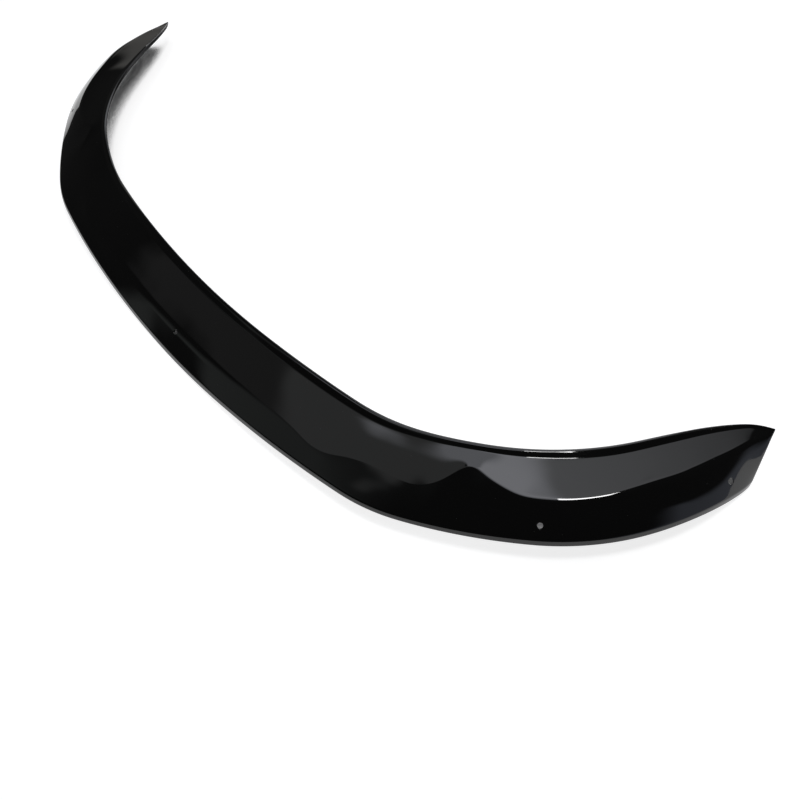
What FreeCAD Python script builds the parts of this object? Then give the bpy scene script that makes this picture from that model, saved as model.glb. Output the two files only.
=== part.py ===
"""Bonnet bug deflector: one moulded band that stands up along the nose of a car bonnet.

The band is one sheet of even thickness. Its section is a steep rim along the lower edge, a
face that bends once at the fold, and a narrow lip that turns up along the upper edge. The
section changes along the band: over the middle the fold is a soft crown, at each corner of
the nose it climbs from the rim to a sharp peak, and along the wing it is the ridge between a
flat upper facet and a steep lower one, until both run out at the tip.

Own frame: X across the car, Y to the rear, Z up, standing on the middle of the lower edge and
the two lower end corners. The origin is the middle of the box, at floor level.
"""
import FreeCAD, Part
import math
import os
from collections import namedtuple

import Sketcher
from FreeCAD import Placement, Rotation, Vector

NODE = "deflector"

SIZES = (
    ("edge_run", 910.0, "half of the lower edge, measured along it"),
    ("band_depth", 108.6, "front to back at the middle, seen from above"),
    ("front_reach", 232.8, "origin to the front of the lower edge"),
    ("wall", 3.0, "thickness of the moulded sheet"),
    ("rim_width", 9.0, "steep strip along the lower edge"),
    ("rim_slope", 62.0, "slope of that strip in degrees"),
    ("lip_width", 11.2, "lip along the upper edge at the middle, seen from above"),
    ("bend_inside", 2.0, "inside radius of the tight bends"),
    ("screw_bore", 7.0, "diameter of the five screw holes"),
)

# Each edge in plan is a chain of arcs: share of its run, and the heading in degrees at its end.
LOWER_ARCS = ((0.418, 11.2), (0.094, 27.8), (0.179, 39.3), (0.299, 83.4), (0.010, 99.8))
UPPER_ARCS = ((0.372, 9.7), (0.433, 59.7), (0.081, 58.6), (0.07, 49.7), (0.044, 23.6))
UPPER_TO_LOWER = 0.925

# How the section changes along the band, as (share of the run from the middle, value).
LOWER_HEIGHT = ((0, 0), (0.25, 14.2), (0.42, 21), (0.577, 23.9), (0.8, 24.9), (0.9, 22), (1, 0))
UPPER_HEIGHT = ((0, 57.3), (0.25, 60.1), (0.43, 57.2), (0.577, 65.2), (0.66, 62.8), (0.75, 57.9),
                (0.9, 46.5), (1, 32))
LIP_SPREAD = ((0, 1), (0.4, 1.09), (0.55, 0.93), (0.66, 1.15), (0.78, 1.39), (0.9, 1.04), (1, 0.31))
LIP_RISE = ((0, 9), (0.3, 8), (0.45, 6), (0.577, 4), (0.75, 2.2), (0.9, 2), (1, 0.8))
FOLD_SHARE = ((0, 0.31), (0.3, 0.3), (0.45, 0.2), (0.508, 0.13), (0.54, 0.36), (0.58, 0.72),
              (0.61, 0.6), (0.66, 0.425), (0.7, 0.393), (0.76, 0.4), (0.83, 0.438), (0.88, 0.44),
              (0.963, 0.645), (1, 0.86))
FOLD_RISE = ((0, 6.7), (0.3, 3.5), (0.45, 2), (0.53, 1.5), (0.577, 5.8), (0.66, 13),
             (0.76, 15.5), (0.92, 15), (0.963, 12), (1, 2))
FOLD_RADIUS = ((0, 70), (0.45, 60), (0.53, 12), (0.577, 2), (0.66, 5), (0.76, 9), (0.85, 26),
               (0.93, 36), (1, 8))

STATIONS = 26

# Screw holes: share of the run, and share of the way from the lower to the upper edge.
SCREWS = (("middle_bore", 0, 0.272), ("side_bore", 0.696, 0.167), ("end_bore", 0.9505, 0.24))

Section = namedtuple("Section", "foot toward depth outer inner")


def blend(knots, share):
    """Smooth curve through the knots, level with its neighbours' slope, flat at the middle."""
    where = [knot[0] for knot in knots]
    value = [knot[1] for knot in knots]
    last = len(knots) - 1
    slope = [0.0] * (last + 1)
    for i in range(1, last):
        before = where[i] - where[i - 1]
        after = where[i + 1] - where[i]
        rise_before = (value[i] - value[i - 1]) / before
        rise_after = (value[i + 1] - value[i]) / after
        slope[i] = (rise_before * after + rise_after * before) / (before + after)
    slope[last] = (value[last] - value[last - 1]) / (where[last] - where[last - 1])
    i = 0
    while i < last - 1 and share > where[i + 1]:
        i += 1
    step = where[i + 1] - where[i]
    f = (share - where[i]) / step
    return ((1 + 2 * f) * (1 - f) ** 2 * value[i] + f * (1 - f) ** 2 * step * slope[i]
            + f * f * (3 - 2 * f) * value[i + 1] + f * f * (f - 1) * step * slope[i + 1])


def along(arcs, run, start, share):
    """Point at a share of a plan edge that starts across the car at (0, start)."""
    x, y, heading = 0.0, start, 0.0
    left = share * run
    for part, end_degrees in arcs:
        length = part * run
        turn = math.radians(end_degrees) - heading
        done = min(left, length)
        new_heading = heading + turn * done / length
        if abs(turn) < 1e-6:
            x += done * math.cos(heading)
            y += done * math.sin(heading)
        else:
            radius = length / turn
            x += radius * (math.sin(new_heading) - math.sin(heading))
            y -= radius * (math.cos(new_heading) - math.cos(heading))
        heading = new_heading
        left -= done
        if left <= 0:
            break
    return Vector(x, y, 0)


def square_to(direction):
    """Unit vector square to a direction of the section, on the sheet's outer side."""
    return Vector(-direction.y, direction.x, 0)


def inner_corner(before, corner, after, wall):
    """Where the sheet's inner face turns, under a sharp corner of the outer face."""
    first = square_to((corner - before).normalize())
    second = square_to((after - corner).normalize())
    return corner - (first + second) * wall / (1 + first * second)


def bend(before, corner, after, radius, wall):
    """Round a corner of the section: (start, corner, end) of the bend, outer and inner.

    The bend is a parabola that leaves both runs smoothly, as far from the corner as an arc of
    this radius would. It is cut back where it would use up more than 0.42 of the run beside it.
    """
    into = (corner - before).normalize()
    out = (after - corner).normalize()
    turn = math.atan2(into.x * out.y - into.y * out.x, into * out)
    reach = min(radius * math.tan(abs(turn) / 2), 0.42 * (corner - before).Length,
                0.42 * (after - corner).Length)
    outer = [corner - into * reach, corner, corner + out * reach]
    inner = [outer[0] - square_to(into) * wall, inner_corner(before, corner, after, wall),
             outer[2] - square_to(out) * wall]
    return outer, inner


def section(sizes, share):
    """The band's section at a share of the run, in the upright plane between the two edges.

    Points are (distance from the lower edge, height). Each face has seven: its lower end, the
    rim's corner, the start, corner and end of the fold, the root of the lip, its upper end.
    """
    start = -sizes["front_reach"]
    foot = along(LOWER_ARCS, sizes["edge_run"], start, share)
    top = along(UPPER_ARCS, sizes["edge_run"] * UPPER_TO_LOWER, start + sizes["band_depth"], share)
    depth = (top - foot).Length
    wall = sizes["wall"]
    slope = math.radians(sizes["rim_slope"])
    along_rim = Vector(math.cos(slope), math.sin(slope), 0)
    lip = sizes["lip_width"] * blend(LIP_SPREAD, share)

    edge = Vector(0, blend(LOWER_HEIGHT, share), 0)
    rim = edge + along_rim * sizes["rim_width"]
    lower_end = edge + along_rim * wall / math.tan(slope)
    upper_end = Vector(depth, blend(UPPER_HEIGHT, share), 0)
    lip_root = Vector(depth - lip, upper_end.y - blend(LIP_RISE, share), 0)
    fold_at = blend(FOLD_SHARE, share) * depth
    line = (fold_at - rim.x) / (lip_root.x - rim.x)
    fold = Vector(fold_at, rim.y + line * (lip_root.y - rim.y) + blend(FOLD_RISE, share), 0)

    fold_outer, fold_inner = bend(rim, fold, lip_root, blend(FOLD_RADIUS, share) + wall, wall)
    outer = [lower_end, rim] + fold_outer + [lip_root, upper_end]
    inner = [lower_end - square_to(along_rim) * wall, inner_corner(lower_end, rim, fold, wall)]
    inner += fold_inner
    inner.append(inner_corner(fold, lip_root, upper_end, wall))
    inner.append(upper_end - square_to((upper_end - lip_root).normalize()) * wall)
    return Section(foot, (top - foot) / depth, depth, outer, inner)


def surface_point(sizes, share, part):
    """Point of the outer surface, part of the way from the lower to the upper edge."""
    cut = section(sizes, share)
    reach = part * cut.depth
    start, corner, end = cut.outer[2:5]
    if start.x < reach < end.x:
        f = bend_share(start.x, corner.x, end.x, reach)
        height = (1 - f) ** 2 * start.y + 2 * f * (1 - f) * corner.y + f * f * end.y
    else:
        near, far = [pair for pair in zip(cut.outer, cut.outer[1:]) if pair[0].x <= reach <= pair[1].x][0]
        height = near.y + (far.y - near.y) * (reach - near.x) / (far.x - near.x)
    spot = cut.foot + cut.toward * reach
    return Vector(spot.x, spot.y, height)


def bend_share(start, corner, end, reach):
    """Parameter at which the bend's parabola is a given way from the lower edge."""
    square = start - 2 * corner + end
    slope = 2 * (corner - start)
    if abs(square) < 1e-9:
        return (reach - start) / slope
    root = math.sqrt(slope * slope - 4 * square * (start - reach))
    return (root - slope) / (2 * square)


def surface_normal(sizes, share, part):
    """Unit normal of the outer surface, pointing out of the sheet."""
    step = 0.004
    lengthways = Vector(1, 0, 0)
    if share > 0:
        lengthways = surface_point(sizes, share + step, part) - surface_point(sizes, share - step, part)
    upward = surface_point(sizes, share, part + step) - surface_point(sizes, share, part - step)
    return lengthways.cross(upward).normalize()


def fill_sheet(doc):
    """Write the driving dimensions and return the sheet with their values."""
    sheet = doc.addObject("Spreadsheet::Sheet", "sizes")
    for row, (alias, value, note) in enumerate(SIZES, start=1):
        sheet.set("A%d" % row, alias)
        sheet.set("B%d" % row, str(value))
        sheet.set("C%d" % row, note)
        sheet.setAlias("B%d" % row, alias)
    doc.recompute()
    return sheet, {alias: float(sheet.get(alias)) for alias, value, note in SIZES}


def plane(body, role):
    """One of the body's own origin planes."""
    return [item for item in body.Origin.OriginFeatures if item.Role == role][0]


def face_edges(points):
    """Edges of one face of the sheet, with the end point of each: straight, but for the fold."""
    edges = []
    for start, end in ((0, 1), (1, 2), (4, 5), (5, 6)):
        edges.append((Part.LineSegment(points[start], points[end]), points[end]))
    fold = Part.BSplineCurve()
    fold.buildFromPolesMultsKnots(points[2:5], [3, 3], [0, 1], False, 2)
    edges.insert(2, (fold, points[4]))
    return edges


def section_sketch(body, sizes, number, share):
    """Closed outline of the sheet at one station, on an upright plane across the band."""
    cut = section(sizes, share)
    heading = math.degrees(math.atan2(cut.toward.y, cut.toward.x))
    sketch = body.newObject("Sketcher::SketchObject", "section_%02d" % number)
    sketch.AttachmentSupport = [(plane(body, "XZ_Plane"), "")]
    sketch.MapMode = "FlatFace"
    sketch.AttachmentOffset = Placement(Vector(cut.foot.x, 0, -cut.foot.y),
                                        Rotation(Vector(0, 1, 0), heading))
    outer, inner = cut.outer, cut.inner
    edges = face_edges(outer)
    edges.append((Part.LineSegment(outer[-1], inner[-1]), inner[-1]))
    edges += face_edges(inner[::-1])
    edges.append((Part.LineSegment(inner[0], outer[0]), outer[0]))
    for curve, end in edges:
        sketch.addGeometry(curve, False)
    for here, (curve, end) in enumerate(edges):
        after = (here + 1) % len(edges)
        sketch.addConstraint(Sketcher.Constraint(
            "Coincident", here, nearer_end(sketch, here, end), after, nearer_end(sketch, after, end)))
    bound = sketch.addConstraint(Sketcher.Constraint("Distance", len(edges) - 1, sizes["wall"]))
    sketch.setExpression("Constraints[%d]" % bound, "sizes.wall")
    return sketch


def nearer_end(sketch, edge, point):
    """Number of the end of a sketch's edge that lies at the point: 1 start, 2 end."""
    return min((1, 2), key=lambda end: (sketch.getPoint(edge, end) - point).Length)


def add_band(body, sizes):
    """Half of the band lofted through its stations, then mirrored across the middle."""
    sketches = [section_sketch(body, sizes, i, i / (STATIONS - 1)) for i in range(STATIONS)]
    half = body.newObject("PartDesign::AdditiveLoft", "half_band")
    half.Profile = sketches[0]
    half.Sections = sketches[1:]
    half.Ruled = False
    half.Closed = False
    half.Refine = False
    body.Document.recompute()
    both = body.newObject("PartDesign::Mirrored", "both_halves")
    both.Originals = [half]
    both.MirrorPlane = (plane(body, "YZ_Plane"), [""])
    both.Refine = False
    body.Tip = both
    body.Document.recompute()
    return both


def add_screw_bores(body, sizes):
    """Five round holes, square to the sheet where each one stands."""
    reach = 6 * sizes["wall"]
    for name, share, part in SCREWS:
        spot = surface_point(sizes, share, part)
        normal = surface_normal(sizes, share, part)
        for side in ((1, -1) if share else (1,)):
            bore = body.newObject("PartDesign::SubtractiveCylinder", name + ("_left" if side < 0 else ""))
            bore.setExpression("Radius", "sizes.screw_bore / 2")
            bore.setExpression("Height", "sizes.wall * 12")
            axis = Vector(side * normal.x, normal.y, normal.z)
            centre = Vector(side * spot.x, spot.y, spot.z)
            bore.AttachmentSupport = [(plane(body, "XY_Plane"), "")]
            bore.MapMode = "FlatFace"
            bore.AttachmentOffset = Placement(centre - axis * reach, Rotation(Vector(0, 0, 1), axis))
            bore.Refine = False
            print("bore", name, "side", side, "centre", tuple(round(c, 3) for c in centre),
                  "axis", tuple(round(c, 4) for c in axis))
    body.Document.recompute()


def check(doc, body, solid_before):
    """Stop if an object failed, if the bores cut nothing, or if the part isn't one solid."""
    for item in doc.Objects:
        if any(word in ("Invalid", "Error") for word in item.State):
            raise RuntimeError("%s failed: %s" % (item.Name, item.State))
    shape = body.Shape
    if shape.isNull() or not shape.isValid() or len(shape.Solids) != 1:
        raise RuntimeError("%s is not one valid solid" % body.Label)
    if not 0 < shape.Volume < solid_before:
        raise RuntimeError("the bores cut nothing")


def main():
    doc = FreeCAD.newDocument("bug_deflector")
    sheet, sizes = fill_sheet(doc)
    body = doc.addObject("PartDesign::Body", "deflector_body")
    body.Label = NODE
    band = add_band(body, sizes)
    solid_before = band.Shape.Volume
    add_screw_bores(body, sizes)
    check(doc, body, solid_before)
    os.makedirs("parts", exist_ok=True)
    body.Shape.exportStep("parts/%s.step" % body.Label)
    box = body.Shape.BoundBox
    print("volume %.0f mm3, faces %d" % (body.Shape.Volume, len(body.Shape.Faces)))
    print("box x %.2f %.2f y %.2f %.2f z %.2f %.2f" % (
        box.XMin, box.XMax, box.YMin, box.YMax, box.ZMin, box.ZMax))


main()
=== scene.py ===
"""A gloss black bonnet bug deflector on a plain pale floor.

The band is one moulded sheet. Its outer face is a function of two parameters, the share of the
band's run from the middle and the place on the section, so the mesh is worked out as whole
arrays on a grid and finished with round edges, round ends and five drilled holes.
"""
import logging
import math
from dataclasses import dataclass, field
from enum import Enum
from typing import Sequence

import bmesh
import bpy
import numpy as np
from mathutils import Matrix


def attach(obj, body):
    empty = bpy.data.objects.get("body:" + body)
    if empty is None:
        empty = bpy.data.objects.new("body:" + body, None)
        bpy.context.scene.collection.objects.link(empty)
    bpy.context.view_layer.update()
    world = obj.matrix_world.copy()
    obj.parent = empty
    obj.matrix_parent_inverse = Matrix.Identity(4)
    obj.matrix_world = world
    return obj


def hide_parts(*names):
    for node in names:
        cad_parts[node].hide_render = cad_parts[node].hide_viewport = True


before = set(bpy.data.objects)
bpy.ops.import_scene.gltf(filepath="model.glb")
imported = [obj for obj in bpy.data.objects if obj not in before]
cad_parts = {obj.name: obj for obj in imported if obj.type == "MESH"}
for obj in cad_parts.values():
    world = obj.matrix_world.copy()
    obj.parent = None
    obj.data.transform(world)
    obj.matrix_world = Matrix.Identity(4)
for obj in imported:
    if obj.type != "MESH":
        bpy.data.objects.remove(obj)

LOG = logging.getLogger("deflector")
MM = 0.001
WELD = 2e-6
Knots = tuple[tuple[float, float], ...]
Colour = tuple[float, float, float]


class Side(Enum):
    """Side of the car, as the sign of X."""

    RIGHT = 1
    LEFT = -1


def blend(knots: Knots, share: np.ndarray) -> np.ndarray:
    """Smooth curve through knots.

    Between two knots it is a cubic that leaves each with the mean slope of the runs beside it,
    weighted towards the shorter run. It is level at the first knot.

    Args:
        knots: pairs of (share of the run, value), rising in share.
        share: where to read the curve.

    Returns:
        The curve's value at each share.
    """
    where, value = np.array(knots, float).T
    step = np.diff(where)
    rise = np.diff(value) / step
    slope = np.zeros(len(where))
    slope[1:-1] = (rise[:-1] * step[1:] + rise[1:] * step[:-1]) / (step[:-1] + step[1:])
    slope[-1] = rise[-1]
    i = np.clip(np.searchsorted(where, share) - 1, 0, len(step) - 1)
    f = (share - where[i]) / step[i]
    return ((1 + 2 * f) * (1 - f) ** 2 * value[i] + f * (1 - f) ** 2 * step[i] * slope[i]
            + f * f * (3 - 2 * f) * value[i + 1] + f * f * (f - 1) * step[i] * slope[i + 1])


def smooth(values: np.ndarray, width: float) -> np.ndarray:
    """Even out columns of values with a bell-shaped running mean.

    Each end is carried on by turning the column about its last point, so the ends stay put.

    Args:
        values: one row for each sample along the band.
        width: the bell's spread, in samples.

    Returns:
        The evened rows.
    """
    reach = int(4 * width)
    bell = np.exp(-0.5 * (np.arange(-reach, reach + 1) / width) ** 2)
    bell /= bell.sum()
    head = 2 * values[:1] - values[reach:0:-1]
    tail = 2 * values[-1:] - values[-2:-reach - 2:-1]
    long = np.concatenate([head, values, tail])
    return np.stack([np.convolve(column, bell, "valid") for column in long.T], axis=1)


@dataclass(frozen=True)
class EdgeRun:
    """One edge of the band in plan: arcs laid end to end from the middle of the car."""

    arcs: Knots
    length: float
    start: float

    def points(self, share: np.ndarray) -> np.ndarray:
        """Points of the edge, from the turn that each arc adds up to there.

        Args:
            share: share of the run from the middle, 0 to 1.

        Returns:
            Rows of (x, y) in millimetres. An arc of length L that turns the heading from a to b
            moves the point by L times the mean of (cos, sin) over its headings.
        """
        x = np.zeros_like(share)
        y = np.full_like(share, self.start)
        heading, gone = 0.0, 0.0
        for part, end in self.arcs:
            turn = math.radians(end) - heading
            done = np.clip((share - gone) / part, 0, 1)
            half = turn * done / 2
            chord = part * self.length * done * np.sinc(half / math.pi)
            x += chord * np.cos(heading + half)
            y += chord * np.sin(heading + half)
            heading += turn
            gone += part
        return np.stack([x, y], axis=-1)


@dataclass(frozen=True)
class ScrewHole:
    """A round hole, square to the sheet, at a share of the run and of the way up the face."""

    name: str
    share: float
    part: float
    side: Side
    radius: float = 3.5
    chamfer: float = 0.45


@dataclass
class DeflectorBand:
    """The moulded sheet, with its sizes in millimetres and degrees.

    The first fields are the sheet's own sizes. Knots give what changes along the band, by the
    share of the run from the middle. The swells set the two faces out from flat, and the roll
    turns back the lip's last few millimetres. Last come the places and the fineness of the mesh.
    """

    edge_run: float = 910.0
    band_depth: float = 108.6
    front_reach: float = 232.8
    wall: float = 3.0
    rim_width: float = 9.0
    rim_slope: float = 62.0
    lip_width: float = 11.2
    bend_inside: float = 2.0
    upper_to_lower: float = 0.925
    evening: float = 7.0
    lower_arcs: Knots = ((0.418, 11.2), (0.094, 27.8), (0.179, 39.3), (0.299, 83.4),
                         (0.010, 99.8))
    upper_arcs: Knots = ((0.372, 9.7), (0.433, 59.7), (0.081, 58.6), (0.07, 49.7),
                         (0.044, 23.6))
    lower_height: Knots = ((0, 0), (0.25, 14.2), (0.42, 21), (0.577, 23.9), (0.8, 24.9),
                           (0.9, 22), (1, 0))
    upper_height: Knots = ((0, 57.3), (0.25, 60.1), (0.43, 57.2), (0.577, 65.2), (0.66, 62.8),
                           (0.75, 57.9), (0.9, 46.5), (1, 32))
    lip_spread: Knots = ((0, 1), (0.4, 1.09), (0.55, 0.93), (0.66, 1.15), (0.78, 1.39),
                         (0.9, 1.04), (1, 0.31))
    lip_rise: Knots = ((0, 9), (0.3, 8), (0.45, 6), (0.577, 4), (0.75, 2.2), (0.9, 2),
                       (1, 0.8))
    fold_share: Knots = ((0, 0.31), (0.3, 0.28), (0.36, 0.25), (0.41, 0.4), (0.45, 0.444),
                         (0.49, 0.41), (0.52, 0.405), (0.545, 0.48), (0.58, 0.72), (0.61, 0.6),
                         (0.66, 0.425), (0.7, 0.393), (0.76, 0.4), (0.83, 0.438), (0.88, 0.44),
                         (0.963, 0.645), (1, 0.86))
    fold_rise: Knots = ((0, 6.7), (0.3, 3.5), (0.45, 2), (0.53, 2), (0.577, 5.8),
                        (0.66, 13), (0.76, 15.5), (0.92, 15), (0.963, 12), (1, 2))
    fold_radius: Knots = ((0, 70), (0.36, 60), (0.42, 20), (0.53, 8), (0.57, 3), (0.6, 14),
                          (0.64, 20), (0.7, 15), (0.76, 12), (0.85, 26), (0.93, 36), (1, 8))
    lower_swell: Knots = ((0, 0), (0.5, 0), (0.6, 0.5), (0.72, 2), (0.82, 1.6), (0.9, 0.9),
                          (0.95, 0.3), (1, 0.2))
    upper_swell: Knots = ((0, 0.5), (0.3, 0.6), (0.42, 0.7), (0.53, 1.2), (0.58, 0.3),
                          (0.65, 0), (1, 0))
    roll_width: float = 5.0
    roll_turn: float = 40.0
    roll_radius: float = 2.5
    roll_least: float = 0.3
    bend_limit: float = 0.42
    holes: tuple[ScrewHole, ...] = (
        ScrewHole("middle", 0.0, 0.272, Side.RIGHT),
        ScrewHole("side_right", 0.696, 0.167, Side.RIGHT),
        ScrewHole("side_left", 0.696, 0.167, Side.LEFT),
        ScrewHole("end_right", 0.9505, 0.24, Side.RIGHT),
        ScrewHole("end_left", 0.9505, 0.24, Side.LEFT),
    )
    hole_margin: float = 3.2
    hole_rings: tuple[float, ...] = (2.0, 1.0)
    samples: int = 4001
    columns: int = 570
    rows: tuple[int, ...] = (3, 6, 6, 8, 6, 12, 4, 6, 4, 6, 3, 4, 2)
    edge_steps: int = 8
    end_steps: int = 5
    table: tuple[np.ndarray, np.ndarray] = field(init=False, repr=False)

    def __post_init__(self) -> None:
        """Work out the section's figures along the band once, evened out, for all that follows."""
        run = np.linspace(-1, 1, self.samples)
        share = np.abs(run)
        lower = EdgeRun(self.lower_arcs, self.edge_run, -self.front_reach)
        upper = EdgeRun(self.upper_arcs, self.edge_run * self.upper_to_lower,
                        self.band_depth - self.front_reach)
        mirror = np.stack([np.sign(run), np.ones_like(run)], axis=1)
        figures = [lower.points(share) * mirror, upper.points(share) * mirror]
        for knots in (self.lower_height, self.upper_height, self.lip_rise, self.fold_share,
                      self.fold_rise, self.fold_radius, self.lower_swell, self.upper_swell):
            figures.append(blend(knots, share)[:, None])
        figures.append((self.lip_width * blend(self.lip_spread, share))[:, None])
        spacing = 2 * self.edge_run / (self.samples - 1)
        self.table = run, smooth(np.concatenate(figures, axis=1), self.evening / spacing)

    def controls(self, run: np.ndarray) -> tuple[np.ndarray, np.ndarray, np.ndarray]:
        """Section of the outer face at each place along the band.

        The section's pieces are straight and bent by turns: edge, rim bend, lower face in two
        flats with its swell between them, fold, upper face likewise, lip bend, lip, roll and
        rolled edge. Each is a parabola on three points; a straight one has its middle point
        halfway. The lip's edge is rolled back over its last few millimetres.

        Args:
            run: place along the band, -1 at the left end to 1 at the right.

        Returns:
            The foot in plan, the unit direction in plan from the lower to the upper edge, and
            the points as (..., 13, 3, 2) of (distance from the foot, height).
        """
        grid, figures = self.table
        named = np.stack([np.interp(run, grid, column) for column in figures.T])
        foot = np.stack(named[0:2], axis=-1)
        across = np.stack(named[2:4], axis=-1) - foot
        depth = np.linalg.norm(across, axis=-1)
        (low, high, rise, fold_share, fold_rise, fold_radius, lower_swell, upper_swell,
         lip) = named[4:]
        slope = math.radians(self.rim_slope)
        inset = 0.5 * self.wall * (1 + math.cos(slope)) / math.sin(slope)

        def point(t: np.ndarray, z: np.ndarray) -> np.ndarray:
            """Pair up distances and heights."""
            return np.stack(np.broadcast_arrays(t, z), axis=-1)

        start = point(inset * math.cos(slope), low + inset * math.sin(slope))
        rim = point(self.rim_width * math.cos(slope), low + self.rim_width * math.sin(slope))
        root = point(depth - lip, high - rise)
        at = fold_share * depth
        line = (at - rim[..., 0]) / (root[..., 0] - rim[..., 0])
        fold = point(at, rim[..., 1] + line * (root[..., 1] - rim[..., 1]) + fold_rise)
        lift = point(depth, high) - root
        along = lift / np.linalg.norm(lift, axis=-1, keepdims=True)
        back = self.roll_width * np.minimum(1, lip / self.lip_width)[..., None]
        crest = point(depth, high) - along * back
        turn = math.radians(self.roll_turn)
        rolled = np.stack([along[..., 0] * math.cos(turn) + along[..., 1] * math.sin(turn),
                           along[..., 1] * math.cos(turn) - along[..., 0] * math.sin(turn)], -1)
        end = crest + rolled * np.maximum(back - self.wall / 2, self.roll_least)
        tight = self.bend_inside + self.wall
        lower_face = self.swollen(rim, fold, lower_swell)
        upper_face = self.swollen(fold, root, upper_swell)
        pieces = self.rounded(
            (start, rim, lower_face, fold, upper_face, root, crest, end),
            (tight, None, fold_radius + self.wall, None, tight, self.roll_radius))
        return foot, across / depth[..., None], pieces

    @staticmethod
    def swollen(first: np.ndarray, last: np.ndarray, swell: np.ndarray) -> np.ndarray:
        """Corner halfway between two others, set out from the line between them.

        Args:
            first: (distance, height) of the corner before.
            last: that of the corner after.
            swell: how far out of the line the new corner stands.

        Returns:
            The new corner's (distance, height).
        """
        line = last - first
        outward = np.stack([-line[..., 1], line[..., 0]], axis=-1)
        outward /= np.linalg.norm(outward, axis=-1, keepdims=True)
        return (first + last) / 2 + outward * swell[..., None]

    def rounded(self, corners: Sequence[np.ndarray],
                radii: Sequence[np.ndarray | float | None]) -> np.ndarray:
        """Straight runs between corners, joined by parabolas in place of the inner corners.

        A bend reaches as far from its corner as an arc of its radius would, radius times the
        tangent of half the turn, but at most bend_limit of the shorter run beside it. With no
        radius it reaches that far.

        Args:
            corners: arrays of (distance, height).
            radii: a radius for each inner corner.

        Returns:
            Pieces of three points each, straight and bent by turns.
        """
        runs = [b - a for a, b in zip(corners, corners[1:])]
        lengths = [np.linalg.norm(r, axis=-1) for r in runs]
        units = [r / n[..., None] for r, n in zip(runs, lengths)]
        points = [corners[0]]
        for i, radius in enumerate(radii):
            a, b = units[i], units[i + 1]
            cosine = np.clip((a * b).sum(-1), -1, 1)
            half = np.sqrt((1 - cosine) / (1 + cosine))
            reach = self.bend_limit * np.minimum(lengths[i], lengths[i + 1])
            if radius is not None:
                reach = np.minimum(radius * half, reach)
            points += [corners[i + 1] - a * reach[..., None], corners[i + 1],
                       corners[i + 1] + b * reach[..., None]]
        points.append(corners[-1])
        pieces = []
        for i in range(0, len(points) - 1, 3):
            pieces.append(np.stack([points[i], (points[i] + points[i + 1]) / 2, points[i + 1]], -2))
            if i + 3 < len(points) - 1:
                pieces.append(np.stack(points[i + 1:i + 4], -2))
        return np.stack(pieces, axis=-3)

    def faces_at(self, run: np.ndarray, place: np.ndarray
                 ) -> tuple[np.ndarray, np.ndarray, np.ndarray]:
        """Points of the outer face, the inner face under them, and the way up the section.

        The inner face is the outer one moved in by the wall, square to the section's line.

        Args:
            run: place along the band, -1 to 1.
            place: place on the section, one whole number for each piece.

        Returns:
            Outer points, inner points and unit tangents, as rows of (x, y, z).
        """
        foot, toward, pieces = self.controls(run)
        i = np.clip(place.astype(int), 0, len(self.rows) - 1)
        f = (place - i)[..., None]
        piece = np.take_along_axis(pieces, i[..., None, None, None], -3)[..., 0, :, :]
        a, k, b = np.moveaxis(piece, -2, 0)
        spot = (1 - f) ** 2 * a + 2 * f * (1 - f) * k + f * f * b
        way = (1 - f) * (k - a) + f * (b - k)
        way /= np.linalg.norm(way, axis=-1, keepdims=True)
        normal = np.stack([-way[..., 1], way[..., 0]], axis=-1)

        def lifted(flat: np.ndarray, origin: float) -> np.ndarray:
            """Turn (distance, height) into (x, y, z); origin is 1 for points, 0 for directions."""
            return np.concatenate([foot * origin + toward * flat[..., :1], flat[..., 1:]], axis=-1)

        return lifted(spot, 1), lifted(spot - normal * self.wall, 1), lifted(way, 0)

    def place_of(self, run: float, part: float) -> float:
        """Place on the section at a given part of the way from the lower to the upper edge.

        Args:
            run: place along the band, -1 to 1.
            part: part of the way, seen from above, 0 to 1.

        Returns:
            The place, one whole number for each piece of the section.
        """
        readings = 2001
        place = np.linspace(0, len(self.rows), readings)
        outer = self.faces_at(np.full_like(place, run), place)[0]
        toward = self.controls(np.array([run]))[1]
        grid, figures = self.table
        lower = np.array([np.interp(run, grid, c) for c in figures.T[:2]])
        upper = np.array([np.interp(run, grid, c) for c in figures.T[2:4]])
        along = ((outer[:, :2] - lower) * toward[0]).sum(1) / np.linalg.norm(upper - lower)
        return float(np.interp(part, along, place))

    def loop(self, run: np.ndarray) -> tuple[np.ndarray, np.ndarray]:
        """Closed section at each place along the band: outer face, upper edge, inner, lower edge.

        An edge is a half circle from one face to the other, about the middle of the wall.

        Args:
            run: place along the band.

        Returns:
            Points as (columns, loop, 3) and, for each, the middle of the wall beside it.
        """
        place = self.places()
        run_grid, place_grid = np.meshgrid(run, place, indexing="ij")
        outer, inner, way = self.faces_at(run_grid, place_grid)
        middle = (outer + inner) / 2
        angle = np.linspace(0, math.pi, self.edge_steps + 1)[1:-1, None]
        rings, hubs = [outer], [middle]
        for end, sign in ((-1, 1), (0, -1)):
            spoke = (outer[:, end] - middle[:, end])[:, None] * sign
            tip = way[:, end][:, None] * sign * self.wall / 2
            rings.append(middle[:, end][:, None] + spoke * np.cos(angle) + tip * np.sin(angle))
            hubs.append(np.repeat(middle[:, end][:, None], len(angle), axis=1))
            if end:
                rings.append(inner[:, ::-1])
                hubs.append(middle[:, ::-1])
        return np.concatenate(rings, axis=1), np.concatenate(hubs, axis=1)

    def places(self) -> np.ndarray:
        """Rows of the grid on the section, evenly spaced within each piece."""
        steps = [i + np.arange(count) / count for i, count in enumerate(self.rows)]
        return np.append(np.concatenate(steps), float(len(self.rows)))

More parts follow.
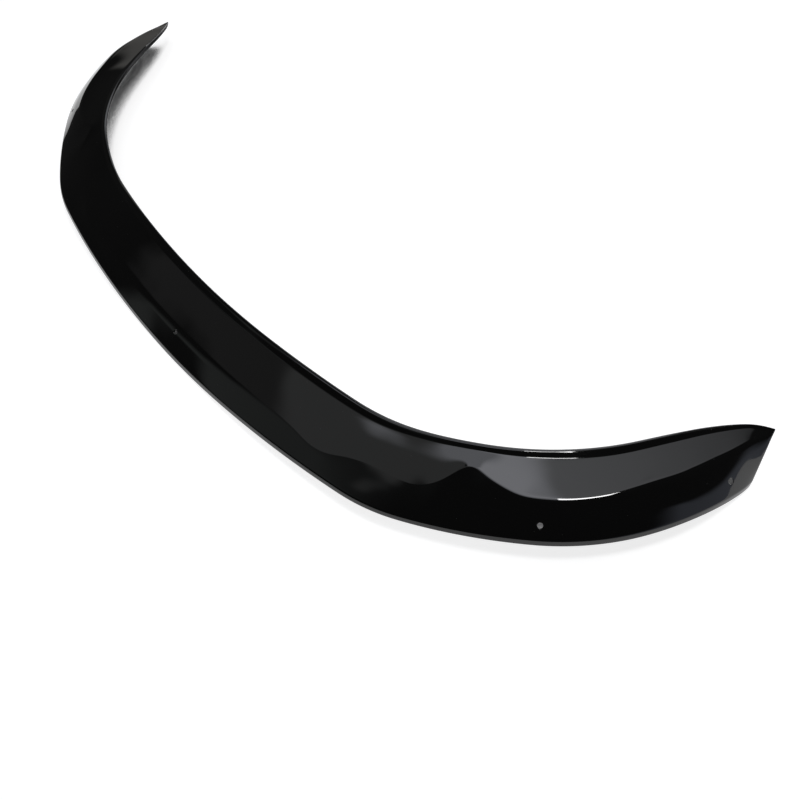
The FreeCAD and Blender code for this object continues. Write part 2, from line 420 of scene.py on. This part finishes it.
    def runs(self) -> np.ndarray:
        """Columns of the grid along the band, closer together at the holes.

        The density is even but for a crowd of columns around each hole, and the columns are
        read off its running total.

        Returns:
            Places along the band, -1 to 1, short of both ends by half the wall.
        """
        crowd_reach, crowd, readings = 11.0, 2.2, 20001
        fine = np.linspace(-1, 1, readings)
        density = np.ones_like(fine)
        for hole in self.holes:
            gap = (fine - hole.side.value * hole.share) * self.edge_run / crowd_reach
            density += crowd * np.exp(-gap ** 4)
        total = np.concatenate([[0], np.cumsum((density[1:] + density[:-1]) / 2)])
        ends = 1 - self.wall / 2 / self.edge_run
        return np.interp(np.linspace(0, total[-1], self.columns), total, fine) * ends

    def ring(self, hole: ScrewHole, angle: np.ndarray, radius: float
             ) -> tuple[np.ndarray, np.ndarray]:
        """Parameters of a circle about a hole on the outer face.

        They start at the hole's middle. The miss from the wanted point, resolved along the
        face's two directions there, is added to them, six times over.

        Args:
            hole: the hole.
            angle: direction of each point, from the band's length towards the upper edge.
            radius: the circle's radius.

        Returns:
            The run and the place of each point.
        """
        centre = np.array([hole.side.value * hole.share])
        place = np.array([self.place_of(centre[0], hole.part)])
        step, rounds = 1e-4, 6
        here = self.faces_at(centre, place)[0][0]
        length = (self.faces_at(centre + step, place)[0][0] - here) / step
        height = (self.faces_at(centre, place + step)[0][0] - here) / step
        east = length / np.linalg.norm(length)
        north = height - east * (height @ east)
        north /= np.linalg.norm(north)
        want = here + radius * (np.cos(angle)[:, None] * east + np.sin(angle)[:, None] * north)
        slopes = np.array([[length @ east, height @ east], [length @ north, height @ north]])
        back = np.linalg.inv(slopes)
        guess = np.stack([np.full_like(angle, centre[0]), np.full_like(angle, place[0])], axis=1)
        for _ in range(rounds):
            miss = want - self.faces_at(guess[:, 0], guess[:, 1])[0]
            guess += np.stack([miss @ east, miss @ north], axis=1) @ back.T
        return guess[:, 0], guess[:, 1]

    def mesh_data(self) -> tuple[np.ndarray, list[np.ndarray]]:
        """Vertices and faces of the whole sheet.

        The grid's columns are joined side by side and each column closes on itself. At each
        end the last column shrinks towards the middle of the wall along a quarter circle. The
        two faces run on in slightly different directions, so they meet there to within 0.05 mm.
        At each hole a block of the grid is left out on both faces and filled with rings that
        turn from the block's outline to the circle, and the circles are joined through the wall.

        Returns:
            Vertices as rows of (x, y, z) in millimetres, and arrays of quads.
        """
        run = self.runs()
        body, hubs = self.loop(run)
        ends = []
        for column, inward in ((0, 1), (-1, -2)):
            away = body[column] - body[inward]
            away /= np.linalg.norm(away, axis=-1, keepdims=True)
            turn = np.linspace(0, math.pi / 2, self.end_steps + 1)[1:, None, None]
            ends.append(hubs[column] + (body[column] - hubs[column]) * np.cos(turn)
                        + away * np.sin(turn) * self.wall / 2)
        grid = np.concatenate([ends[0][::-1], body, ends[1]])
        columns, size = grid.shape[:2]
        index = np.arange(columns * size).reshape(columns, size)
        keep = np.ones((columns - 1, size), bool)
        vertices = [grid.reshape(-1, 3)]
        quads = []
        total = columns * size
        for hole in self.holes:
            blocks, more, rings = self.punched(hole, run, index, total)
            for block in blocks:
                keep[block] = False
            vertices.append(more)
            total += len(more)
            quads += rings
            LOG.info("hole %s: %.0f mm across", hole.name, 2 * hole.radius)
        after = np.roll(index, -1, axis=1)
        sheet = np.stack([index[:-1], index[1:], after[1:], after[:-1]], axis=-1)[keep]
        return np.concatenate(vertices), [sheet] + quads

    def punched(self, hole: ScrewHole, run: np.ndarray, index: np.ndarray, total: int
                ) -> tuple[list[tuple[slice, slice]], np.ndarray, list[np.ndarray]]:
        """Blocks of the grid to leave out at a hole, and what fills them.

        Args:
            hole: the hole.
            run: the grid's columns.
            index: vertex numbers of the grid, end columns included.
            total: how many vertices there are already.

        Returns:
            The blocks as slices of the grid's cells, the new vertices and the new quads.
        """
        place = self.places()
        centre = hole.side.value * hole.share
        middle = self.place_of(centre, hole.part)
        quarters = np.array([0, math.pi / 2, math.pi, -math.pi / 2])
        ring_run, ring_place = self.ring(hole, quarters, hole.radius + self.hole_margin)
        left = int(np.searchsorted(run, ring_run.min())) - 1
        right = int(np.searchsorted(run, ring_run.max()))
        bottom = int(np.searchsorted(place, ring_place.min())) - 1
        top = int(np.searchsorted(place, ring_place.max()))
        across = np.arange(left, right + 1)
        up = np.arange(bottom, top + 1)
        outline_run = np.concatenate([across[:-1], np.full(len(up) - 1, right), across[:0:-1],
                                      np.full(len(up) - 1, left)])
        outline_row = np.concatenate([np.full(len(across) - 1, bottom), up[:-1],
                                      np.full(len(across) - 1, top), up[:0:-1]])
        outer = self.faces_at(run[outline_run], place[outline_row])[0]
        here, under, north = (a[0] for a in self.faces_at(np.array([centre]), np.array([middle])))
        square = (here - under) / self.wall
        east = np.cross(north, square)
        gap = outer - here
        angle = np.arctan2(gap @ north, gap @ east)

        shift = self.end_steps
        last = len(place) - 1
        mirrored = 2 * last + self.edge_steps - outline_row
        rows = [index[outline_run + shift, outline_row], index[outline_run + shift, mirrored]]
        new, fills, circles = [], [], []
        for level, before in enumerate(rows):
            for beyond in (*self.hole_rings, hole.chamfer):
                now = total + len(new) * len(angle) + np.arange(len(angle))
                new.append(self.faces_at(*self.ring(hole, angle, hole.radius + beyond))[level])
                fills.append((before, now, level))
                before = now
            circles.append(before)
        mouth, foot, _ = self.faces_at(*self.ring(hole, angle, hole.radius))
        before = circles[0]
        for share in (hole.chamfer / self.wall, 0.5, 1 - hole.chamfer / self.wall):
            now = total + len(new) * len(angle) + np.arange(len(angle))
            new.append(mouth + (foot - mouth) * share)
            fills.append((before, now, 0))
            before = now
        fills.append((before, circles[1], 0))
        quads = [joined(a, b, flip) for a, b, flip in fills]
        first = slice(left + shift, right + shift)
        inner_low = 2 * last + self.edge_steps - top
        inner_high = 2 * last + self.edge_steps - bottom
        blocks = [(first, slice(bottom, top)), (first, slice(inner_low, inner_high))]
        return blocks, np.concatenate(new), quads

    def build(self) -> bpy.types.Object:
        """Make the sheet's mesh, smooth and facing outwards.

        The weld merges points that coincide, so the hairline along each end stays open.

        Returns:
            The object, in metres, at the origin.
        """
        vertices, quads = self.mesh_data()
        faces = np.concatenate(quads)
        mesh = bpy.data.meshes.new("moulded_band")
        mesh.vertices.add(len(vertices))
        mesh.vertices.foreach_set("co", (vertices * MM).astype(np.float32).ravel())
        mesh.loops.add(faces.size)
        mesh.loops.foreach_set("vertex_index", faces.astype(np.int32).ravel())
        mesh.polygons.add(len(faces))
        mesh.polygons.foreach_set("loop_start", np.arange(0, faces.size, 4, dtype=np.int32))
        mesh.update(calc_edges=True)
        mesh.validate()
        shell = bmesh.new()
        shell.from_mesh(mesh)
        bmesh.ops.remove_doubles(shell, verts=shell.verts, dist=WELD)
        bmesh.ops.recalc_face_normals(shell, faces=shell.faces)
        if shell.calc_volume(signed=True) < 0:
            bmesh.ops.reverse_faces(shell, faces=shell.faces)
        loose = sum(1 for edge in shell.edges if not edge.is_manifold)
        volume = shell.calc_volume(signed=True)
        shell.to_mesh(mesh)
        shell.free()
        mesh.polygons.foreach_set("use_smooth", np.ones(len(mesh.polygons), bool))
        mesh.update()
        LOG.info("band: %d faces, %d open edges, %.0f cm3", len(mesh.polygons), loose, volume * 1e6)
        piece = bpy.data.objects.new("moulded_band", mesh)
        bpy.context.scene.collection.objects.link(piece)
        return piece


def joined(first: np.ndarray, second: np.ndarray, flip: int) -> np.ndarray:
    """Quads between two closed rows of vertex numbers, turned over where flip is set."""
    quads = np.stack([first, np.roll(first, -1), np.roll(second, -1), second], axis=1)
    return quads[:, ::-1] if flip else quads


def node(tree: bpy.types.NodeTree, kind: str, **inputs: object) -> bpy.types.Node:
    """Add a node and set its inputs.

    Args:
        tree: the node tree.
        kind: the node's type name.
        **inputs: a value for each named input, with underscores for spaces.

    Returns:
        The node.
    """
    made = tree.nodes.new(kind)
    for name, value in inputs.items():
        made.inputs[name.replace("_", " ")].default_value = value
    return made


def grown(tree: bpy.types.NodeTree, kind: str, operation: str,
          *sources: bpy.types.NodeSocket | float) -> bpy.types.NodeSocket:
    """Add a math node fed by sockets or numbers.

    Args:
        tree: the node tree.
        kind: ShaderNodeMath or ShaderNodeVectorMath.
        operation: the sum it does.
        *sources: its inputs in order.

    Returns:
        The node's result: Value where the operation gives one, else the vector.
    """
    made = tree.nodes.new(kind)
    made.operation = operation
    for place, source in enumerate(sources):
        if isinstance(source, bpy.types.NodeSocket):
            tree.links.new(source, made.inputs[place])
        else:
            made.inputs[place].default_value = source
    return made.outputs["Value" if operation == "DOT_PRODUCT" or kind == "ShaderNodeMath" else 0]


def mixed(tree: bpy.types.NodeTree, factor: bpy.types.NodeSocket,
          first: bpy.types.NodeSocket | Colour, second: bpy.types.NodeSocket | Colour
          ) -> bpy.types.NodeSocket:
    """Add a colour mix fed by sockets or colours.

    Args:
        tree: the node tree.
        factor: how much of the second there is.
        first: the colour at factor 0.
        second: the colour at factor 1.

    Returns:
        The mixed colour.
    """
    mix = tree.nodes.new("ShaderNodeMix")
    mix.data_type = "RGBA"
    tree.links.new(factor, mix.inputs["Factor"])
    for name, colour in (("A", first), ("B", second)):
        if isinstance(colour, bpy.types.NodeSocket):
            tree.links.new(colour, mix.inputs[name])
        else:
            mix.inputs[name].default_value = (*colour, 1)
    return mix.outputs["Result"]


def started(name: str, inputs: dict[str, str], outputs: dict[str, str]
            ) -> tuple[bpy.types.NodeTree, bpy.types.NodeOutputs, bpy.types.NodeInputs]:
    """Start a shader node group.

    Args:
        name: the group's name.
        inputs: the kind of each input, Vector, Float or Color, by its name.
        outputs: the kind of each output by its name.

    Returns:
        The group, the sockets that bring its inputs and those that take its outputs.
    """
    tree = bpy.data.node_groups.new(name, "ShaderNodeTree")
    for way, sockets in (("INPUT", inputs), ("OUTPUT", outputs)):
        for label, kind in sockets.items():
            tree.interface.new_socket(label, in_out=way, socket_type="NodeSocket" + kind)
    return (tree, tree.nodes.new("NodeGroupInput").outputs,
            tree.nodes.new("NodeGroupOutput").inputs)


def placed(tree: bpy.types.NodeTree, group: bpy.types.NodeTree,
           where: bpy.types.NodeSocket, **inputs: object) -> bpy.types.NodeOutputs:
    """Place a group that reads a Vector.

    Args:
        tree: the node tree.
        group: the group.
        where: the coordinates that it reads.
        **inputs: a value for each named input.

    Returns:
        The group's outputs.
    """
    made = tree.nodes.new("ShaderNodeGroup")
    made.node_tree = group
    for name, value in inputs.items():
        made.inputs[name].default_value = value
    tree.links.new(where, made.inputs["Vector"])
    return made.outputs


def mottle_group() -> bpy.types.NodeTree:
    """Group that gives a soft mottle: layered noise, spread between two limits.

    Returns:
        The group, with inputs Vector, Scale, Detail, Low and High, and output Value.
    """
    tree, source, sink = started(
        "soft_mottle", {"Vector": "Vector", "Scale": "Float", "Detail": "Float", "Low": "Float",
                        "High": "Float"}, {"Value": "Float"})
    noise = node(tree, "ShaderNodeTexNoise", Roughness=0.55)
    spread = node(tree, "ShaderNodeMapRange", From_Min=0.3, From_Max=0.7)
    for name in ("Vector", "Scale", "Detail"):
        tree.links.new(source[name], noise.inputs[name])
    tree.links.new(noise.outputs["Fac"], spread.inputs["Value"])
    tree.links.new(source["Low"], spread.inputs["To Min"])
    tree.links.new(source["High"], spread.inputs["To Max"])
    tree.links.new(spread.outputs["Result"], sink["Value"])
    return tree


def speck_group() -> bpy.types.NodeTree:
    """Group that scatters small, sparse specks of dust.

    The space is cut into cells, Scale of them to a metre. A share of the cells hold a speck,
    and Size is its radius as a share of a cell.

    Returns:
        The group, with inputs Vector, Scale, Size, Share, Ground and Dust, and outputs Colour
        and Mask.
    """
    tree, source, sink = started(
        "dust_specks", {"Vector": "Vector", "Scale": "Float", "Size": "Float", "Share": "Float",
                        "Ground": "Color", "Dust": "Color"}, {"Colour": "Color", "Mask": "Float"})
    cells = tree.nodes.new("ShaderNodeTexVoronoi")
    tree.links.new(source["Vector"], cells.inputs["Vector"])
    tree.links.new(source["Scale"], cells.inputs["Scale"])
    parts = tree.nodes.new("ShaderNodeSeparateColor")
    tree.links.new(cells.outputs["Color"], parts.inputs["Color"])
    near = grown(tree, "ShaderNodeMath", "LESS_THAN", cells.outputs["Distance"], source["Size"])
    few = grown(tree, "ShaderNodeMath", "LESS_THAN", parts.outputs["Red"], source["Share"])
    mask = grown(tree, "ShaderNodeMath", "MULTIPLY", near, few)
    tree.links.new(mixed(tree, mask, source["Ground"], source["Dust"]), sink["Colour"])
    tree.links.new(mask, sink["Mask"])
    return tree


def panel_group() -> bpy.types.NodeTree:
    """Group that tells how far a direction looks into a soft-edged rectangle.

    The direction is cut with the plane one unit off along Facing. Its two places on that
    plane, in half widths and half heights of the rectangle, are faded past one. Fade darkens
    the rectangle towards its upper end.

    Returns:
        The group, with inputs Direction, Facing, Across, Upward, Edge Across, Edge Upward and
        Fade, and output Mask.
    """
    tree, source, sink = started(
        "soft_panel", {"Direction": "Vector", "Facing": "Vector", "Across": "Vector",
                       "Upward": "Vector", "Edge Across": "Float", "Edge Upward": "Float",
                       "Fade": "Float"}, {"Mask": "Float"})
    math_node, vector_node = "ShaderNodeMath", "ShaderNodeVectorMath"
    grazing = 0.02
    depth = grown(tree, vector_node, "DOT_PRODUCT", source["Direction"], source["Facing"])
    ahead = grown(tree, math_node, "GREATER_THAN", depth, grazing)
    safe = grown(tree, math_node, "MAXIMUM", depth, grazing)
    mask = ahead
    for axis in ("Across", "Upward"):
        offset = grown(tree, vector_node, "DOT_PRODUCT", source["Direction"], source[axis])
        offset = grown(tree, math_node, "DIVIDE", offset, safe)
        far = grown(tree, math_node, "ABSOLUTE", offset)
        edge = source["Edge " + axis]
        fall = node(tree, "ShaderNodeMapRange", To_Min=1.0, To_Max=0.0)
        fall.interpolation_type = "SMOOTHSTEP"
        tree.links.new(far, fall.inputs["Value"])
        tree.links.new(grown(tree, math_node, "SUBTRACT", 1.0, edge), fall.inputs["From Min"])
        tree.links.new(grown(tree, math_node, "ADD", 1.0, edge), fall.inputs["From Max"])
        mask = grown(tree, math_node, "MULTIPLY", mask, fall.outputs["Result"])
    height = node(tree, "ShaderNodeMapRange", From_Min=-1.0, From_Max=1.0)
    tree.links.new(offset, height.inputs["Value"])
    dim = grown(tree, math_node, "MULTIPLY", height.outputs["Result"], source["Fade"])
    kept = grown(tree, math_node, "SUBTRACT", 1.0, dim)
    tree.links.new(grown(tree, math_node, "MULTIPLY", mask, kept), sink["Mask"])
    return tree


@dataclass(frozen=True)
class GlossAcrylic:
    """Polished black acrylic: a deep black body under a clear, nearly flawless skin."""

    name: str = "gloss_black_acrylic"
    black: Colour = (0.0020, 0.0020, 0.0020)
    roughness: float = 0.03
    haze: float = 0.03
    index: float = 1.49
    ripple: float = 0.0003
    dust: Colour = (0.03, 0.03, 0.028)
    dulling: float = 0.35

    def material(self, mottle: bpy.types.NodeTree,
                 specks: bpy.types.NodeTree) -> bpy.types.Material:
        """Make the material.

        The skin's roughness drifts a little where it was wiped, a slow ripple left by the
        mould bends its reflections, and a few specks of dust lie on it.

        Args:
            mottle: the soft mottle group.
            specks: the dust speck group.

        Returns:
            The material.
        """
        made = bpy.data.materials.new(self.name)
        made.use_nodes = True
        tree = made.node_tree
        skin = tree.nodes["Principled BSDF"]
        skin.inputs["IOR"].default_value = self.index
        where = tree.nodes.new("ShaderNodeTexCoord").outputs["Object"]
        dusty = placed(tree, specks, where, Scale=160.0, Size=0.06, Share=0.12,
                       Ground=(*self.black, 1), Dust=(*self.dust, 1))
        tree.links.new(dusty["Colour"], skin.inputs["Base Color"])
        wiped = placed(tree, mottle, where, Scale=9.0, Detail=4.0, Low=self.roughness,
                       High=self.roughness + self.haze)
        dull = grown(tree, "ShaderNodeMath", "MULTIPLY_ADD", dusty["Mask"], self.dulling,
                     wiped["Value"])
        tree.links.new(dull, skin.inputs["Roughness"])
        wave = placed(tree, mottle, where, Scale=14.0, Detail=1.0, Low=0.0, High=1.0)
        bump = node(tree, "ShaderNodeBump", Strength=0.5, Distance=self.ripple)
        tree.links.new(wave["Value"], bump.inputs["Height"])
        tree.links.new(bump.outputs["Normal"], skin.inputs["Normal"])
        return made


@dataclass(frozen=True)
class PaleFloor:
    """Matt pale studio floor that is lifted to white where it is looked at.

    The lift is the same in and out of the band's shadow, so the shadow still shows. It fades
    out only deep under the band, where the floor sees little of the room within its reach, so
    that the screw holes look into the dark: this fade is painted shade under the band, driven by
    ambient occlusion. There is none of the lift where less than dark_share of the sky is open,
    and all of it past light_share.
    """

    name: str = "pale_floor"
    white: float = 0.42
    glow: float = 0.80
    reach: float = 0.14
    dark_share: float = 0.24
    light_share: float = 0.34
    sky_rays: int = 16
    half_size: float = 7.0
    cells: int = 8
    drop: float = 0.0003

    def build(self, mottle: bpy.types.NodeTree) -> bpy.types.Object:
        """Make the floor: a square of quads at the height that the band stands on.

        Args:
            mottle: the soft mottle group.

        Returns:
            The floor.
        """
        across = np.linspace(-self.half_size, self.half_size, self.cells + 1)
        x, y = np.meshgrid(across, across)
        vertices = np.stack([x, y, np.full_like(x, -self.drop)], axis=-1).reshape(-1, 3)
        index = np.arange(x.size).reshape(x.shape)
        faces = np.stack([index[:-1, :-1], index[:-1, 1:], index[1:, 1:], index[1:, :-1]], -1)
        mesh = bpy.data.meshes.new(self.name)
        mesh.from_pydata(vertices.tolist(), [], faces.reshape(-1, 4).tolist())
        floor = bpy.data.objects.new(self.name, mesh)
        bpy.context.scene.collection.objects.link(floor)
        made = bpy.data.materials.new(self.name)
        made.use_nodes = True
        tree = made.node_tree
        paint = tree.nodes["Principled BSDF"]
        paint.inputs["Roughness"].default_value = 0.9
        paint.inputs["Specular IOR Level"].default_value = 0.1
        paint.inputs["Emission Color"].default_value = (1, 1, 1, 1)
        where = tree.nodes.new("ShaderNodeTexCoord").outputs["Object"]
        tone = placed(tree, mottle, where, Scale=1.3, Detail=3.0, Low=self.white - 0.01,
                      High=self.white)
        tree.links.new(tone["Value"], paint.inputs["Base Color"])
        seen = tree.nodes.new("ShaderNodeLightPath").outputs
        shown = grown(tree, "ShaderNodeMath", "MAXIMUM", seen["Is Camera Ray"],
                      seen["Is Glossy Ray"])
        shown = grown(tree, "ShaderNodeMath", "MAXIMUM", shown, seen["Is Transmission Ray"])
        # Painted shade: the white lift fades where ambient occlusion finds the band overhead, so
        # the floor under the band and seen through the screw holes is painted darker.
        sky = node(tree, "ShaderNodeAmbientOcclusion", Distance=self.reach)
        sky.samples = self.sky_rays
        lift = node(tree, "ShaderNodeMapRange", From_Min=self.dark_share,
                    From_Max=self.light_share, To_Max=self.glow)
        lift.interpolation_type = "SMOOTHSTEP"
        tree.links.new(sky.outputs["AO"], lift.inputs["Value"])
        shown = grown(tree, "ShaderNodeMath", "MULTIPLY", shown, lift.outputs["Result"])
        tree.links.new(shown, paint.inputs["Emission Strength"])
        mesh.materials.append(made)
        return floor


class LampRole(Enum):
    """What each lamp of the studio is for."""

    KEY = "key"
    FILL = "fill"


@dataclass(frozen=True)
class Lamp:
    """A soft box, tilted up from level and then turned about the vertical, in degrees."""

    role: LampRole
    place: tuple[float, float, float]
    size: tuple[float, float]
    power: float
    turn: float
    tilt: float = 0.0

    def build(self) -> bpy.types.Object:
        """Hang the lamp.

        Returns:
            The lamp.
        """
        light = bpy.data.lights.new(self.role.value, "AREA")
        light.shape = "RECTANGLE"
        light.size, light.size_y = self.size
        light.energy = self.power
        lamp = bpy.data.objects.new(self.role.value, light)
        lamp.location = self.place
        lamp.rotation_euler = (math.radians(self.tilt), 0.0, math.radians(self.turn))
        bpy.context.scene.collection.objects.link(lamp)
        return lamp


class Surface(Enum):
    """Which part of the room a soft panel is on."""

    WALL = "wall"
    CEILING = "ceiling"


@dataclass(frozen=True)
class SoftPanel:
    """A soft-edged rectangle of light on the room's walls or ceiling, one unit away.

    On a wall the first axis runs along it and the second upwards, and azimuth is the way the
    wall lies, in degrees from X towards Y. On the ceiling the axes are X and Y.
    """

    name: str
    surface: Surface
    azimuth: float
    centre: tuple[float, float]
    half: tuple[float, float]
    turn: float
    edge: tuple[float, float]
    colour: Colour
    fade: float = 0.0

    def vectors(self) -> tuple[np.ndarray, np.ndarray, np.ndarray]:
        """Facing direction, and the two axes scaled to the half sizes.

        An axis is leant back by its share of the centre, so that its dot product with a
        direction, over the dot product with the facing one, is the distance from the centre.

        Returns:
            The facing direction and the two axes, across and upward.
        """
        angle = math.radians(self.azimuth)
        if self.surface is Surface.WALL:
            facing = np.array([math.cos(angle), math.sin(angle), 0.0])
            first = np.array([-math.sin(angle), math.cos(angle), 0.0])
            second = np.array([0.0, 0.0, 1.0])
        else:
            facing = np.array([0.0, 0.0, 1.0])
            first = np.array([1.0, 0.0, 0.0])
            second = np.array([0.0, 1.0, 0.0])
        middle = first * self.centre[0] + second * self.centre[1]
        turn = math.radians(self.turn)
        across = first * math.cos(turn) + second * math.sin(turn)
        upward = second * math.cos(turn) - first * math.sin(turn)
        return (facing, (across - facing * (across @ middle)) / self.half[0],
                (upward - facing * (upward @ middle)) / self.half[1])

    def paint(self, tree: bpy.types.NodeTree, panels: bpy.types.NodeTree,
              direction: bpy.types.NodeSocket, under: bpy.types.NodeSocket
              ) -> bpy.types.NodeSocket:
        """Lay the panel over the room's colour so far.

        Args:
            tree: the world's node tree.
            panels: the soft panel group.
            direction: the direction looked in.
            under: the colour so far.

        Returns:
            The colour with the panel.
        """
        mask = tree.nodes.new("ShaderNodeGroup")
        mask.node_tree = panels
        mask.label = self.name
        for name, value in zip(("Facing", "Across", "Upward"), self.vectors()):
            mask.inputs[name].default_value = value.tolist()
        for name, value in (("Edge Across", self.edge[0]), ("Edge Upward", self.edge[1]),
                            ("Fade", self.fade)):
            mask.inputs[name].default_value = value
        tree.links.new(direction, mask.inputs["Direction"])
        return mixed(tree, mask.outputs["Mask"], under, self.colour)


@dataclass
class Studio:
    """Camera, floor, lamps and the room around them."""

    eye: tuple[float, float, float] = (0.76061, -0.28344, 0.82356)
    right: tuple[float, float, float] = (0.66656, 0.73225, -0.13968)
    up: tuple[float, float, float] = (-0.59134, 0.63349, 0.49900)
    back: tuple[float, float, float] = (0.45388, -0.25002, 0.85527)
    lens: float = 31.5
    lamps: tuple[Lamp, ...] = (
        Lamp(LampRole.KEY, (0.477, 0.736, 3.0), (0.56, 0.49), 28.0, -48.0),
        Lamp(LampRole.FILL, (1.50, 3.50, 0.78), (1.20, 0.85), 55.0, 160.0, 78.0),
    )
    dim: Colour = (0.040, 0.040, 0.040)
    ground: Colour = (0.9, 0.9, 0.9)
    seen_white: Colour = (1.0, 1.0, 1.0)
    panels: tuple[SoftPanel, ...] = (
        SoftPanel("low_wall", Surface.WALL, 5.7, (0, 0.02), (0.52, 0.39), -50, (0.4, 0.06),
                  (0.42, 0.45, 0.53)),
        SoftPanel("far_window", Surface.WALL, 155, (0.0, 0.40), (0.09, 0.22), 0, (0.2, 0.3),
                  (0.48, 0.47, 0.45)),
        SoftPanel("window", Surface.WALL, 136, (0.0, 0.45), (0.21, 0.50), 0, (0.15, 0.3),
                  (1.3, 1.33, 1.4)),
        SoftPanel("long_ceiling", Surface.CEILING, 0, (-0.29, 0.90), (0.15, 0.75), 0,
                  (0.2, 0.15), (1.65, 1.68, 1.75), 0.8),
        SoftPanel("low_grey", Surface.CEILING, 0, (-1.10, -1.11), (0.95, 0.19), 42,
                  (0.25, 0.4), (0.23, 0.245, 0.24)),
        SoftPanel("grey_ceiling", Surface.CEILING, 0, (-0.490, -0.221), (0.265, 0.187), 9.5,
                  (0.4, 0.045), (0.47, 0.48, 0.48)),
        SoftPanel("near_ceiling", Surface.CEILING, 0, (-0.37, 0.132), (0.315, 0.27), -30,
                  (0.1, 0.12), (1.9, 1.95, 2.1)),
        SoftPanel("halo", Surface.CEILING, 0, (-0.19, 0.18), (0.06, 0.16), 0, (0.6, 0.4),
                  (3.4, 3.45, 3.7)),
        SoftPanel("grey_wall", Surface.CEILING, 0, (-0.92, -0.42), (0.25, 0.16), 20,
                  (0.3, 0.3), (0.17, 0.17, 0.17)),
    )

    def camera(self) -> bpy.types.Object:
        """Stand the camera where the photograph was taken from, with no shift.

        Returns:
            The camera.
        """
        eye = bpy.data.objects.new("camera", bpy.data.cameras.new("camera"))
        eye.data.lens = self.lens
        eye.data.sensor_width = 36.0
        eye.data.clip_end = 50.0
        turn = Matrix((self.right, self.up, self.back)).transposed()
        eye.matrix_world = Matrix.Translation(self.eye) @ turn.to_4x4()
        bpy.context.scene.collection.objects.link(eye)
        bpy.context.scene.camera = eye
        return eye

    def room(self) -> None:
        """Make the room: dim grey with soft panels of light, and white where it is seen.

        What the gloss shows is the room, panel by panel. Past the floor's edge the camera
        itself sees plain white.
        """
        world = bpy.data.worlds.new("room")
        bpy.context.scene.world = world
        world.use_nodes = True
        tree = world.node_tree
        backdrop = tree.nodes["Background"]
        direction = tree.nodes.new("ShaderNodeTexCoord").outputs["Generated"]
        panels = panel_group()
        split = tree.nodes.new("ShaderNodeSeparateXYZ")
        tree.links.new(direction, split.inputs[0])
        below = grown(tree, "ShaderNodeMath", "LESS_THAN", split.outputs["Z"], 0.0)
        colour = mixed(tree, below, self.dim, self.ground)
        for panel in self.panels:
            colour = panel.paint(tree, panels, direction, colour)
        seen = tree.nodes.new("ShaderNodeLightPath").outputs["Is Camera Ray"]
        tree.links.new(mixed(tree, seen, colour, self.seen_white), backdrop.inputs["Color"])

    def build(self, mottle: bpy.types.NodeTree) -> None:
        """Set up the whole studio.

        Args:
            mottle: the soft mottle group.
        """
        self.camera()
        self.room()
        for lamp in self.lamps:
            lamp.build()
        PaleFloor().build(mottle)
        bpy.context.scene.view_settings.view_transform = "Standard"


def main() -> None:
    """Build the studio and the band, dress it, hang it on the root body, hide the imported part."""
    logging.basicConfig(level=logging.INFO, format="%(name)s: %(message)s")
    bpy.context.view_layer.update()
    mottle = mottle_group()
    Studio().build(mottle)
    LOG.info("studio: floor, room and lamps")
    band = DeflectorBand().build()
    band.data.materials.append(GlossAcrylic().material(mottle, speck_group()))
    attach(band, "root")
    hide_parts("deflector")


if __name__ == "__main__":
    main()
